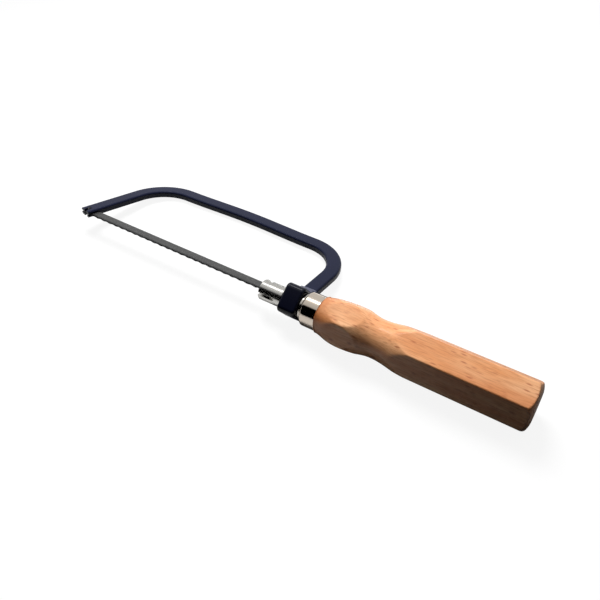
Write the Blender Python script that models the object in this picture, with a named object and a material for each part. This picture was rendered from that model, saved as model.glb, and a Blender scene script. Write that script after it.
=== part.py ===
"""Mini hacksaw: a bent flat-bar bow, a pin-ended blade and a screw-tensioned wooden handle.

Lengths are in metres. The saw lies on its side: +X runs along the saw from the tip to the
butt, +Y points from the blade to the back of the bow, +Z is square to the bow's flat sides.
While the pieces are made, X is counted from the blade's front pin and Y from the handle's
axis. The root empty then moves the whole saw, so that its origin is the centre of the butt.
"""
from math import cos, pi, radians, sin, sqrt, tan

import bmesh
import bpy
from mathutils import Matrix, Vector

# Fits
CLEARANCE = 0.0003

# Blade and its two pins
PIN_SPACING = 0.146
BLADE_OVERHANG = 0.002
BLADE_WIDTH = 0.0062
BLADE_THICKNESS = 0.00065
BLADE_OFFSET = 0.0019
BLADE_END_ROUNDING = 0.0008
PLAIN_END = 0.0065
TOOTH_PITCH = 0.0008
TOOTH_DEPTH = 0.0005
TOOTH_RAKE = 0.00015
SET_HEIGHT = 0.0009
SET_WAVE = 0.0056
SET_AMOUNT = 0.00025
PIN_DIAMETER = 0.002
PIN_LENGTH = 0.005
SLIT_WIDTH = 0.00125
SWING_ANGLE = radians(5)

# Bow
BAR_WIDTH = 0.0091
BAR_THICKNESS = 0.004
BAR_EDGE_RADIUS = 0.0007
FRONT_ARM_LEAN = radians(13)
FRONT_CORNER_RADIUS = 0.028
REAR_CORNER_RADIUS = 0.0262
BACK_HEIGHT = 0.0602
BACK_FALL = 0.0014
BACK_CROWN = 0.0016
TIP_REACH = 0.0031

# Boss at the foot of the bow
BOSS_LENGTH = 0.0101
BOSS_SIDE = 0.0180
BOSS_CORNER_RADIUS = 0.0046
BOSS_EDGE_RADIUS = 0.0009
BOSS_OFFSET = 0.0010
BAR_SOCKET_DEPTH = 0.0022

# Tension bolt
HEAD_DIAMETER = 0.0119
HEAD_LENGTH = 0.0162
HEAD_EDGE_RADIUS = 0.0006
HEAD_LIP = 0.0013
HEAD_SLIT_DEPTH = 0.0106
HEAD_STANDOFF = 0.0005
THREAD_PITCH = 0.0008
HANDLE_TURNS = 1.25
NECK_SIDE = 0.0066
SHANK_DIAMETER = 0.005
SHANK_LENGTH = 0.027

# Thrust washer, ferrule and handle nut
WASHER_DIAMETER = 0.0148
WASHER_THICKNESS = 0.0020
WASHER_EDGE_RADIUS = 0.0007
FERRULE_DIAMETER = 0.0195
FERRULE_LENGTH = 0.0094
FERRULE_WALL = 0.0007
FERRULE_INNER_ROUNDING = 0.0005
NUT_FLANGE_DIAMETER = 0.0148
NUT_FLANGE_THICKNESS = 0.002
NUT_SLEEVE_DIAMETER = 0.009
NUT_LENGTH = 0.022

# Handle
HANDLE_LENGTH = 0.1209
HANDLE_FLATS = 6
HANDLE_ACROSS_FLATS = 0.0238
HANDLE_ARRIS_ROUNDING = 0.0005
HANDLE_ROLL = radians(-4)
SHOULDER_RADIUS = 0.0101
BULB_RADIUS = 0.0129
BULB_PLACE = 0.0240
WAIST_RADIUS = 0.01055
WAIST_PLACE = 0.0430
GRIP_PLACE = 0.0690
BUTT_ROUNDING = 0.0042
BUTT_FLAT_RADIUS = 0.0065
BORE_SPARE = 0.0045

# Facets on round surfaces, and the meshes' own tolerances
ROUND_STEPS = 48
CORNER_STEPS = 12
EDGE_STEPS = 3
BEVEL_STEPS = 2
SHARP_ANGLE = radians(50)
SMOOTH_ANGLE = radians(30)
MERGE_DISTANCE = 1e-7

# Places along the saw, counted from the front pin
PIN_RADIUS = PIN_DIAMETER / 2
REAR_PIN_X = PIN_SPACING
BOLT_TRAVEL = THREAD_PITCH * HANDLE_TURNS
SEAT_FRONT_X = REAR_PIN_X - PIN_RADIUS - CLEARANCE
SEAT_REAR_X = REAR_PIN_X + PIN_RADIUS + BOLT_TRAVEL + CLEARANCE
HEAD_FRONT_X = SEAT_FRONT_X - HEAD_LIP
HEAD_REAR_X = HEAD_FRONT_X + HEAD_LENGTH
BOSS_FRONT_X = HEAD_REAR_X + HEAD_STANDOFF
BOSS_REAR_X = BOSS_FRONT_X + BOSS_LENGTH
WASHER_FRONT_X = BOSS_REAR_X + CLEARANCE
WASHER_REAR_X = WASHER_FRONT_X + WASHER_THICKNESS
FERRULE_FRONT_X = WASHER_REAR_X + CLEARANCE
FERRULE_REAR_X = FERRULE_FRONT_X + FERRULE_LENGTH
NUT_FRONT_X = FERRULE_FRONT_X + FERRULE_WALL + CLEARANCE
FLANGE_REAR_X = NUT_FRONT_X + NUT_FLANGE_THICKNESS
NUT_REAR_X = NUT_FRONT_X + NUT_LENGTH
SHANK_REAR_X = BOSS_REAR_X + SHANK_LENGTH
HANDLE_FRONT_X = FLANGE_REAR_X + CLEARANCE
BUTT_X = HANDLE_FRONT_X + HANDLE_LENGTH
BORE_END_X = max(NUT_REAR_X, SHANK_REAR_X) + BORE_SPARE

# Places across the saw
BLADE_BACK_Y = BLADE_OFFSET + BLADE_WIDTH / 2
BLADE_TEETH_Y = BLADE_OFFSET - BLADE_WIDTH / 2
BOSS_CORNER_REACH = (BOSS_SIDE / 2 - BOSS_CORNER_RADIUS) * sqrt(2)
BOSS_TOP_Y = BOSS_OFFSET + BOSS_CORNER_REACH + BOSS_CORNER_RADIUS
REAR_ARM_X = BOSS_REAR_X - BAR_WIDTH / 2
REAR_ARM_END_Y = BOSS_TOP_Y - BAR_SOCKET_DEPTH + CLEARANCE
GRIP_CORNER_RADIUS = HANDLE_ACROSS_FLATS / 2 / cos(pi / HANDLE_FLATS)
GRIP_RADIUS = GRIP_CORNER_RADIUS + CLEARANCE


def clear_scene():
    for old in list(bpy.data.objects):
        bpy.data.objects.remove(old)


def make_material(name, colour, roughness, metallic):
    material = bpy.data.materials.new(name)
    material.use_nodes = True
    shader = material.node_tree.nodes["Principled BSDF"]
    shader.inputs["Base Color"].default_value = (*colour, 1)
    shader.inputs["Roughness"].default_value = roughness
    shader.inputs["Metallic"].default_value = metallic
    return material


def add_empty(name, parent, location):
    empty = bpy.data.objects.new(name, None)
    bpy.context.collection.objects.link(empty)
    empty.parent = parent
    empty.location = location
    return empty


def add_piece(name, shape, parent, material=None):
    """Turn a bmesh into a named object, shaded smooth except at its sharp edges."""
    bmesh.ops.recalc_face_normals(shape, faces=shape.faces)
    mesh = bpy.data.meshes.new(name)
    shape.to_mesh(mesh)
    shape.free()
    mesh.shade_smooth()
    mesh.set_sharp_from_angle(angle=SMOOTH_ANGLE)
    piece = bpy.data.objects.new(name, mesh)
    bpy.context.collection.objects.link(piece)
    piece.parent = parent
    if material:
        mesh.materials.append(material)
    return piece


def add_boolean(piece, operation, name, shape):
    """Join or cut a piece with a helper solid that isn't part of the saw itself."""
    helper = add_piece(f"{piece.name}_{name}", shape, piece.parent)
    helper.hide_render = True
    helper.display_type = "WIRE"
    modifier = piece.modifiers.new(name, "BOOLEAN")
    modifier.operation = operation
    modifier.solver = "EXACT"
    modifier.object = helper


def add_bevel(piece, width):
    modifier = piece.modifiers.new("rounded_edges", "BEVEL")
    modifier.width = width
    modifier.segments = BEVEL_STEPS
    modifier.limit_method = "ANGLE"
    modifier.angle_limit = SHARP_ANGLE


def prism(outline, low, high, direction="Z"):
    """Extrude a flat outline: (x, y) points along Z, or (y, z) points along X."""
    shape = bmesh.new()
    if direction == "Z":
        corners = [shape.verts.new((a, b, low)) for a, b in outline]
        step = Vector((0, 0, high - low))
    else:
        corners = [shape.verts.new((low, a, b)) for a, b in outline]
        step = Vector((high - low, 0, 0))
    face = shape.faces.new(corners)
    extruded = bmesh.ops.extrude_face_region(shape, geom=[face], use_keep_orig=True)
    moved = [item for item in extruded["geom"] if isinstance(item, bmesh.types.BMVert)]
    bmesh.ops.translate(shape, verts=moved, vec=step)
    return shape


def block(low, high):
    outline = [(low[0], low[1]), (high[0], low[1]), (high[0], high[1]), (low[0], high[1])]
    return prism(outline, low[2], high[2])


def turned(profile, steps=ROUND_STEPS):
    """Turn a closed (x, radius) profile about the saw's axis; points at radius 0 become poles."""
    shape = bmesh.new()
    corners = [shape.verts.new((x, 0, radius)) for x, radius in profile]
    edges = [shape.edges.new(pair) for pair in zip(corners, corners[1:])]
    if profile[0][1] or profile[-1][1]:
        edges.append(shape.edges.new((corners[-1], corners[0])))
    bmesh.ops.spin(shape, geom=corners + edges, cent=(0, 0, 0), axis=(1, 0, 0),
                   angle=2 * pi, steps=steps, use_merge=True)
    bmesh.ops.remove_doubles(shape, verts=shape.verts, dist=MERGE_DISTANCE)
    return shape


def rod(start, end, diameter, steps=ROUND_STEPS):
    radius = diameter / 2
    return turned([(start, 0), (start, radius), (end, radius), (end, 0)], steps)


def arc(centre, radius, start, end, steps):
    """Points on a circle from one angle to another, both ends included."""
    turn = (end - start) / steps
    angles = [start + turn * step for step in range(steps + 1)]
    return [(centre[0] + radius * cos(angle), centre[1] + radius * sin(angle)) for angle in angles]


def rounded_diamond(reach, radius, centre):
    """A rounded square that stands on its corner; the corners' centres lie at the given reach."""
    points = []
    for corner in range(4):
        middle = corner * pi / 2
        place = (centre[0] + reach * cos(middle), centre[1] + reach * sin(middle))
        points += arc(place, radius, middle - pi / 4, middle + pi / 4, 2 * EDGE_STEPS)
    return points


def bow_edges():
    """The outer and inner edge of the bow, each from the tip to the boss, as (x, y) points."""
    along_arm = Vector((sin(FRONT_ARM_LEAN), cos(FRONT_ARM_LEAN)))
    arm_length = (BACK_HEIGHT - BLADE_OFFSET) / along_arm.y
    front_pin = Vector((0, BLADE_OFFSET))
    front_corner = front_pin + along_arm * arm_length
    rear_corner = Vector((REAR_ARM_X, BACK_HEIGHT - BACK_FALL))
    along_back = (rear_corner - front_corner).normalized()
    back_angle = along_back.angle_signed(Vector((1, 0)))
    front_turn = pi / 2 - FRONT_ARM_LEAN - back_angle
    rear_turn = pi / 2 + back_angle
    front_tangent = FRONT_CORNER_RADIUS * tan(front_turn / 2)
    rear_tangent = REAR_CORNER_RADIUS * tan(rear_turn / 2)
    inwards = Vector((along_back.y, -along_back.x))
    front_centre = front_corner + along_back * front_tangent + inwards * FRONT_CORNER_RADIUS
    rear_centre = rear_corner - along_back * rear_tangent + inwards * REAR_CORNER_RADIUS

    edges = []
    for side in (BAR_WIDTH / 2, -BAR_WIDTH / 2):
        across = Vector((-along_arm.y, along_arm.x)) * side
        points = [tuple(front_pin + across - along_arm * TIP_REACH)]
        points += arc(front_centre, FRONT_CORNER_RADIUS + side, pi - FRONT_ARM_LEAN,
                      pi / 2 + back_angle, CORNER_STEPS)
        start = Vector(points[-1])
        rear_arc = arc(rear_centre, REAR_CORNER_RADIUS + side, pi / 2 + back_angle, 0, CORNER_STEPS)
        end = Vector(rear_arc[0])
        for step in range(1, CORNER_STEPS):
            share = step / CORNER_STEPS
            crown = BACK_CROWN * sin(pi * share) ** 2
            point = start.lerp(end, share)
            points.append((point.x, point.y + crown))
        points += rear_arc
        points.append((REAR_ARM_X + side, REAR_ARM_END_Y))
        edges.append(points)
    return edges


def make_bow(parent, paint):
    outer, inner = bow_edges()
    half = BAR_THICKNESS / 2
    bow = add_piece("frame_bow", prism(outer + inner[::-1], -half, half), parent, paint)
    add_bevel(bow, BAR_EDGE_RADIUS)
    reach = BAR_WIDTH
    below_tip = BLADE_TEETH_Y - reach - TIP_REACH
    slit_end = BLADE_BACK_Y + reach * tan(SWING_ANGLE) + CLEARANCE
    slit = block((-reach, below_tip, -SLIT_WIDTH / 2), (reach, slit_end, SLIT_WIDTH / 2))
    add_boolean(bow, "DIFFERENCE", "blade_slit", slit)
    seat = PIN_RADIUS + CLEARANCE
    notch_end = BLADE_OFFSET + seat
    notch = block((-seat, below_tip, -BAR_THICKNESS), (seat, notch_end, BAR_THICKNESS))
    add_boolean(bow, "DIFFERENCE", "pin_notch", notch)


def make_boss(parent, paint):
    outline = rounded_diamond(BOSS_CORNER_REACH, BOSS_CORNER_RADIUS, (BOSS_OFFSET, 0))
    boss = add_piece("frame_boss", prism(outline, BOSS_FRONT_X, BOSS_REAR_X, "X"), parent, paint)
    add_bevel(boss, BOSS_EDGE_RADIUS)
    hole = NECK_SIDE / 2 + CLEARANCE
    neck_hole = block((BOSS_FRONT_X - hole, -hole, -hole), (BOSS_REAR_X + hole, hole, hole))
    add_boolean(boss, "DIFFERENCE", "neck_hole", neck_hole)
    half_height = BAR_THICKNESS / 2 + CLEARANCE
    socket = block((BOSS_FRONT_X - half_height, BOSS_TOP_Y - BAR_SOCKET_DEPTH, -half_height),
                   (BOSS_REAR_X + half_height, BOSS_TOP_Y + BAR_SOCKET_DEPTH, half_height))
    add_boolean(boss, "DIFFERENCE", "bar_socket", socket)


def make_washer(parent, steel):
    rim = WASHER_DIAMETER / 2
    hole = SHANK_DIAMETER / 2 + CLEARANCE
    round_off = WASHER_EDGE_RADIUS
    profile = [(WASHER_FRONT_X, hole)]
    profile += arc((WASHER_FRONT_X + round_off, rim - round_off), round_off, pi, pi / 2, EDGE_STEPS)
    profile += arc((WASHER_REAR_X - round_off, rim - round_off), round_off, pi / 2, 0, EDGE_STEPS)
    profile += [(WASHER_REAR_X, hole)]
    add_piece("thrust_washer", turned(profile), parent, steel)


def make_bolt(parent, nickel):
    rim = HEAD_DIAMETER / 2
    round_off = HEAD_EDGE_RADIUS
    profile = [(HEAD_FRONT_X, 0)]
    profile += arc((HEAD_FRONT_X + round_off, rim - round_off), round_off, pi, pi / 2, EDGE_STEPS)
    profile += arc((HEAD_REAR_X - round_off, rim - round_off), round_off, pi / 2, 0, EDGE_STEPS)
    profile += [(HEAD_REAR_X, 0)]
    bolt = add_piece("tension_bolt", turned(profile), parent, nickel)

    half = NECK_SIDE / 2
    neck = block((HEAD_REAR_X - half, -half, -half), (BOSS_REAR_X - CLEARANCE, half, half))
    add_boolean(bolt, "UNION", "neck", neck)
    add_boolean(bolt, "UNION", "shank", rod(HEAD_REAR_X + half, SHANK_REAR_X, SHANK_DIAMETER))

    slit = block((HEAD_FRONT_X - rim, -HEAD_DIAMETER, -SLIT_WIDTH / 2),
                 (HEAD_FRONT_X + HEAD_SLIT_DEPTH, HEAD_DIAMETER, SLIT_WIDTH / 2))
    add_boolean(bolt, "DIFFERENCE", "blade_slit", slit)
    seat_bottom = BLADE_OFFSET - PIN_RADIUS - CLEARANCE
    seat = block((SEAT_FRONT_X, seat_bottom, -HEAD_DIAMETER),
                 (SEAT_REAR_X, HEAD_DIAMETER, HEAD_DIAMETER))
    add_boolean(bolt, "DIFFERENCE", "pin_seat", seat)


def blade_shape():
    """The blade from its front pin: a strip whose raked teeth and lower margin weave to both sides."""
    front = -BLADE_OVERHANG
    rear = PIN_SPACING + BLADE_OVERHANG
    back = BLADE_WIDTH / 2
    root = TOOTH_DEPTH - BLADE_WIDTH / 2
    margin = root + SET_HEIGHT
    half = BLADE_THICKNESS / 2
    round_off = BLADE_END_ROUNDING
    count = int((PIN_SPACING - 2 * PLAIN_END) / TOOTH_PITCH)
    toothed = count * TOOTH_PITCH
    front_tooth_x = (PIN_SPACING - toothed) / 2
    outline = arc((front + round_off, root + round_off), round_off, 1.5 * pi, pi, EDGE_STEPS)
    outline += arc((front + round_off, back - round_off), round_off, pi, pi / 2, EDGE_STEPS)
    outline += arc((rear - round_off, back - round_off), round_off, pi / 2, 0, EDGE_STEPS)
    outline += arc((rear - round_off, root + round_off), round_off, 0, -pi / 2, EDGE_STEPS)

    shape = bmesh.new()
    places = [front_tooth_x + toothed - tooth * TOOTH_PITCH for tooth in range(count + 1)]
    strip = [shape.verts.new((x, y, -half)) for x, y in outline]
    roots = [shape.verts.new((x, root, -half)) for x in places]
    margins = [shape.verts.new((x, margin, -half)) for x in places]
    faces = [shape.faces.new([*strip, roots[0], *margins, roots[-1]])]
    for tooth in range(count):
        rear_root, front_root = roots[tooth:tooth + 2]
        rear_margin, front_margin = margins[tooth:tooth + 2]
        tip = shape.verts.new((front_root.co.x + TOOTH_RAKE, -back, -half))
        faces.append(shape.faces.new((rear_margin, rear_root, front_root)))
        faces.append(shape.faces.new((rear_margin, front_root, front_margin)))
        faces.append(shape.faces.new((rear_root, tip, front_root)))
    extruded = bmesh.ops.extrude_face_region(shape, geom=faces, use_keep_orig=True)
    raised = [item for item in extruded["geom"] if isinstance(item, bmesh.types.BMVert)]
    bmesh.ops.translate(shape, verts=raised, vec=(0, 0, BLADE_THICKNESS))
    waves = round(toothed / SET_WAVE)
    for point in shape.verts:
        share = (point.co.x - front_tooth_x) / toothed
        depth = (margin - point.co.y) / (margin + back)
        if 0 < share < 1 and depth > 0:
            point.co.z += SET_AMOUNT * depth * sin(2 * pi * waves * share)
    return shape


def make_blade(hinge, steel, bright):
    blade = add_piece("blade", blade_shape(), hinge, steel)
    for end, x in (("front", 0), ("rear", PIN_SPACING)):
        upright = Matrix.Translation((x, 0, 0)) @ Matrix.Rotation(pi / 2, 4, "Y")
        hole = rod(-PIN_LENGTH, PIN_LENGTH, PIN_DIAMETER + 2 * CLEARANCE, ROUND_STEPS // 2)
        bmesh.ops.transform(hole, matrix=upright, verts=hole.verts)
        add_boolean(blade, "DIFFERENCE", f"{end}_hole", hole)
        pin = rod(-PIN_LENGTH / 2, PIN_LENGTH / 2, PIN_DIAMETER, ROUND_STEPS // 2)
        bmesh.ops.transform(pin, matrix=upright, verts=pin.verts)
        add_piece(f"blade_{end}_pin", pin, hinge, bright)


def make_ferrule(parent, nickel):
    outer = FERRULE_DIAMETER / 2
    inner = outer - FERRULE_WALL
    hole = NUT_SLEEVE_DIAMETER / 2
    inner_round = FERRULE_INNER_ROUNDING
    outer_round = inner_round + FERRULE_WALL
    corner = (FERRULE_FRONT_X + outer_round, outer - outer_round)
    profile = [(FERRULE_FRONT_X, hole)]
    profile += arc(corner, outer_round, pi, pi / 2, EDGE_STEPS)
    profile += [(FERRULE_REAR_X, outer), (FERRULE_REAR_X, inner)]
    profile += arc(corner, inner_round, pi / 2, pi, EDGE_STEPS)
    profile += [(FERRULE_FRONT_X + FERRULE_WALL, hole)]
    add_piece("ferrule", turned(profile), parent, nickel)


def make_nut(parent, steel):
    bore = SHANK_DIAMETER / 2 + CLEARANCE
    flange = NUT_FLANGE_DIAMETER / 2
    sleeve = NUT_SLEEVE_DIAMETER / 2
    profile = [(NUT_FRONT_X, bore), (NUT_FRONT_X, flange), (FLANGE_REAR_X, flange),
               (FLANGE_REAR_X, sleeve), (NUT_REAR_X, sleeve), (NUT_REAR_X, bore)]
    add_piece("handle_nut", turned(profile), parent, steel)


def eased(start, end, steps):
    """Points from one (x, radius) to another, level at both ends, without the first one."""
    points = []
    for step in range(1, steps + 1):
        share = step / steps
        rise = (1 - cos(pi * share)) / 2
        points.append((start[0] + (end[0] - start[0]) * share, start[1] + (end[1] - start[1]) * rise))
    return points


def handle_profile():
    """The turned shape before the six flats: spigot, shoulder, bulb, waist, grip and butt."""
    spigot = FERRULE_DIAMETER / 2 - FERRULE_WALL - CLEARANCE
    shoulder_x = FERRULE_REAR_X + CLEARANCE
    shoulder = (shoulder_x, SHOULDER_RADIUS)
    bulb = (FERRULE_FRONT_X + BULB_PLACE, BULB_RADIUS)
    waist = (FERRULE_FRONT_X + WAIST_PLACE, WAIST_RADIUS)
    grip = (FERRULE_FRONT_X + GRIP_PLACE, GRIP_RADIUS)
    swell = [(shoulder[0] + (bulb[0] - shoulder[0]) * step / CORNER_STEPS,
              shoulder[1] + (bulb[1] - shoulder[1]) * sin(pi / 2 * step / CORNER_STEPS))
             for step in range(1, CORNER_STEPS + 1)]
    profile = [(HANDLE_FRONT_X, 0), (HANDLE_FRONT_X, spigot), (shoulder_x, spigot), shoulder]
    profile += swell
    profile += eased(bulb, waist, CORNER_STEPS)
    profile += eased(waist, grip, CORNER_STEPS)
    drop = GRIP_RADIUS - BUTT_FLAT_RADIUS
    for step in range(CORNER_STEPS // 2 + 1):
        angle = pi / 2 * step / (CORNER_STEPS // 2)
        setback = BUTT_ROUNDING * (1 - sin(angle))
        profile.append((BUTT_X - setback, GRIP_RADIUS - drop * (1 - cos(angle))))
    profile.append((BUTT_X, 0))
    return profile


def make_handle(parent, beech):
    handle = add_piece("handle", turned(handle_profile()), parent, beech)
    corner_step = 2 * pi / HANDLE_FLATS
    corners = [HANDLE_ROLL + pi / 2 + corner_step * corner for corner in range(HANDLE_FLATS)]
    outline = [(GRIP_CORNER_RADIUS * cos(angle), GRIP_CORNER_RADIUS * sin(angle)) for angle in corners]
    flats = prism(outline, HANDLE_FRONT_X - GRIP_RADIUS, BUTT_X + GRIP_RADIUS, "X")
    lengthwise = Vector((1, 0, 0))
    arrises = [edge for edge in flats.edges
               if abs((edge.verts[0].co - edge.verts[1].co).dot(lengthwise)) > GRIP_RADIUS]
    bmesh.ops.bevel(flats, geom=arrises, offset=HANDLE_ARRIS_ROUNDING, offset_type="OFFSET",
                    segments=BEVEL_STEPS, profile=0.5, affect="EDGES", material=-1)
    add_boolean(handle, "INTERSECT", "six_flats", flats)
    bore = rod(HANDLE_FRONT_X - GRIP_RADIUS, BORE_END_X, NUT_SLEEVE_DIAMETER + 2 * CLEARANCE)
    add_boolean(handle, "DIFFERENCE", "nut_bore", bore)


def build():
    clear_scene()
    paint = make_material("navy_gloss_paint", (0.022, 0.024, 0.060), 0.28, 0.0)
    boss_paint = make_material("navy_gloss_paint_boss", (0.020, 0.022, 0.055), 0.26, 0.0)
    blade_steel = make_material("dark_blade_steel", (0.080, 0.080, 0.082), 0.42, 1.0)
    pin_steel = make_material("pin_steel", (0.45, 0.45, 0.45), 0.35, 1.0)
    nickel = make_material("satin_nickel", (0.62, 0.60, 0.57), 0.28, 1.0)
    polished = make_material("polished_nickel", (0.72, 0.69, 0.64), 0.10, 1.0)
    washer_steel = make_material("bright_washer_steel", (0.66, 0.64, 0.60), 0.16, 1.0)
    nut_steel = make_material("zinc_plated_steel", (0.55, 0.55, 0.56), 0.35, 1.0)
    beech = make_material("beech", (0.78, 0.44, 0.23), 0.55, 0.0)

    root = add_empty("saw", None, (-BUTT_X, 0, 0))
    blade_hinge = add_empty("blade_hinge", root, (0, BLADE_OFFSET, 0))
    handle_axis = add_empty("handle_axis", root, (0, 0, 0))
    bolt_axis = add_empty("bolt_axis", root, (0, 0, 0))
    make_bow(root, paint)
    make_boss(root, boss_paint)
    make_washer(root, washer_steel)
    make_blade(blade_hinge, blade_steel, pin_steel)
    make_bolt(bolt_axis, nickel)
    make_ferrule(handle_axis, polished)
    make_nut(handle_axis, nut_steel)
    make_handle(handle_axis, beech)


build()
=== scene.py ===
from math import atan2, cos, hypot, pi, radians, sin, sqrt, tan

import bmesh
import bpy
from mathutils import Matrix, Vector


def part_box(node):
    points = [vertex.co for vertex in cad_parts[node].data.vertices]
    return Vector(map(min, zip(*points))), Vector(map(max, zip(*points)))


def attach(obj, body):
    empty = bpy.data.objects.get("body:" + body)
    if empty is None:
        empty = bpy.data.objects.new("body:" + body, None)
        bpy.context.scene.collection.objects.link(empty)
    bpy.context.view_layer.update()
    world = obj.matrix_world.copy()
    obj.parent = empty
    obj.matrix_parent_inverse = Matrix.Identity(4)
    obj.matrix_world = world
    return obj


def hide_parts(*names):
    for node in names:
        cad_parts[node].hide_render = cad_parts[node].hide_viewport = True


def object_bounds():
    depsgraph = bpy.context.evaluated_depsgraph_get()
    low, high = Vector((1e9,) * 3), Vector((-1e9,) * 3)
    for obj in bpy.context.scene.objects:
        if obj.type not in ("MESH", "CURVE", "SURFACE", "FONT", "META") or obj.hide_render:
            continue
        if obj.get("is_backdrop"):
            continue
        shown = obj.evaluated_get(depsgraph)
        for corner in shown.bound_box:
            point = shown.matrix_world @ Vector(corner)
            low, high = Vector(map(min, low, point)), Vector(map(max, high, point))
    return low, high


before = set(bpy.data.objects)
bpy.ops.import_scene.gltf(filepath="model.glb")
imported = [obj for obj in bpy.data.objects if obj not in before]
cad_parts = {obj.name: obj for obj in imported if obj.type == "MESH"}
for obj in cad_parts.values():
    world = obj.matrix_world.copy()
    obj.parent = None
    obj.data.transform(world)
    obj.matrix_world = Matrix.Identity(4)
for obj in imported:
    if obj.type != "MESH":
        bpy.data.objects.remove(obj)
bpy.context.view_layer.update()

# The bow is one length of flat steel bar, bent on edge into two corners with a slightly crowned back.
# Its tip is sawn across twice: a slit takes the blade and a notch takes the blade's pin.
# The whole bar is sprayed with navy gloss enamel and stoved.
MM = 0.001
bar_width = 9.1 * MM
bar_thickness = 4.6 * MM
bar_rounding = 1.4 * MM
arm_lean = radians(13)
front_corner_radius = 28.0 * MM
rear_corner_radius = 26.2 * MM
back_height = 60.2 * MM
back_fall = 1.4 * MM
back_crown = 1.6 * MM
tip_reach = 3.1 * MM
foot_sink = 1.9 * MM
slit_width = 1.25 * MM
slit_reach = 6.3 * MM
notch_width = 2.6 * MM
saw_cut_rounding = 0.14 * MM
bar_rounding_steps = 6
peel_grain = 1.6 * MM
coat_drift = 22.0 * MM
scuff_grain = 0.7 * MM
corner_steps = 28
back_steps = 40


def linear(code):
    """The linear colour of an sRGB hex code such as "#20244a", with full alpha."""
    parts = [int(code[place:place + 2], 16) / 255 for place in (1, 3, 5)]
    return (*[part / 12.92 if part <= 0.04045 else ((part + 0.055) / 1.055) ** 2.4 for part in parts], 1)


def add_node(tree, kind, sockets=None, **settings):
    """Add a node; each socket takes a value, or a link from another node's output."""
    node = tree.nodes.new(kind)
    for setting, value in settings.items():
        setattr(node, setting, value)
    for socket, value in (sockets or {}).items():
        if isinstance(value, bpy.types.NodeSocket):
            tree.links.new(value, node.inputs[socket])
        else:
            node.inputs[socket].default_value = value
    return node


def start_material(name):
    """A new material's node tree, its shader and the object coordinates that its patterns read."""
    material = bpy.data.materials.new(name)
    material.use_nodes = True
    tree = material.node_tree
    shader = tree.nodes["Principled BSDF"]
    place = add_node(tree, "ShaderNodeTexCoord").outputs["Object"]
    return material, tree, shader, place


def make_piece(name, shape, material):
    """Turn a bmesh into an object at the origin, its doubles merged and its faces outwards."""
    bmesh.ops.remove_doubles(shape, verts=shape.verts, dist=1e-7)
    bmesh.ops.recalc_face_normals(shape, faces=shape.faces)
    mesh = bpy.data.meshes.new(name)
    shape.to_mesh(mesh)
    shape.free()
    mesh.materials.append(material)
    piece = bpy.data.objects.new(name, mesh)
    bpy.context.scene.collection.objects.link(piece)
    return piece


def work_with(piece, operation, shape):
    """Cut a helper solid out of a piece or weld it on, for good, and delete the helper."""
    helper = make_piece("helper", shape, piece.data.materials[0])
    modifier = piece.modifiers.new(operation, "BOOLEAN")
    modifier.operation = operation
    modifier.solver = "EXACT"
    modifier.object = helper
    bpy.context.view_layer.update()
    finished = piece.evaluated_get(bpy.context.evaluated_depsgraph_get())
    mesh = bpy.data.meshes.new_from_object(finished)
    cleaned = bmesh.new()
    cleaned.from_mesh(mesh)
    bmesh.ops.dissolve_degenerate(cleaned, edges=cleaned.edges, dist=1e-6)
    cleaned.to_mesh(mesh)
    cleaned.free()
    piece.modifiers.clear()
    old_mesh, piece.data = piece.data, mesh
    bpy.data.meshes.remove(old_mesh)
    bpy.data.meshes.remove(helper.data)


def box_shape(low, high):
    shape = bmesh.new()
    bmesh.ops.create_cube(shape, size=1)
    size = Vector(high) - Vector(low)
    middle = (Vector(high) + Vector(low)) / 2
    bmesh.ops.scale(shape, verts=shape.verts, vec=size)
    bmesh.ops.translate(shape, verts=shape.verts, vec=middle)
    return shape


def soften_edges(piece, width, near):
    """Break the sharp edges whose middle passes a test, as a file would."""
    shape = bmesh.new()
    shape.from_mesh(piece.data)
    bmesh.ops.remove_doubles(shape, verts=shape.verts, dist=1e-6)
    bmesh.ops.dissolve_degenerate(shape, edges=shape.edges, dist=1e-6)
    sharp = [edge for edge in shape.edges
             if edge.is_manifold and edge.calc_face_angle(0) > radians(50)
             and near((edge.verts[0].co + edge.verts[1].co) / 2)]
    bmesh.ops.bevel(shape, geom=sharp, offset=width, segments=2, profile=0.5, affect="EDGES",
                    material=-1, clamp_overlap=True)
    shape.to_mesh(piece.data)
    shape.free()


def shade(piece, sharp_angle=radians(35)):
    """Smooth shading that stays flat on flat faces and breaks at real corners."""
    piece.data.shade_smooth()
    piece.data.set_sharp_from_angle(angle=sharp_angle)
    weighted = piece.modifiers.new("flat_faces", "WEIGHTED_NORMAL")
    weighted.keep_sharp = True


def ring_parts(geom):
    verts = [item for item in geom if isinstance(item, bmesh.types.BMVert)]
    edges = [item for item in geom if isinstance(item, bmesh.types.BMEdge)]
    return verts, edges


def draw_on(shape, ring, step):
    """Carry an open ring of edges on by one straight step."""
    drawn = bmesh.ops.extrude_edge_only(shape, edges=ring[1])["geom"]
    verts, edges = ring_parts(drawn)
    bmesh.ops.translate(shape, verts=verts, vec=step)
    return verts, [edge for edge in edges if edge.verts[0] in verts and edge.verts[1] in verts]


def bend_on(shape, ring, centre, angle, steps):
    bent = bmesh.ops.spin(shape, geom=ring[0] + ring[1], cent=centre, axis=(0, 0, 1), angle=angle, steps=steps)
    return ring_parts(bent["geom_last"])


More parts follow.
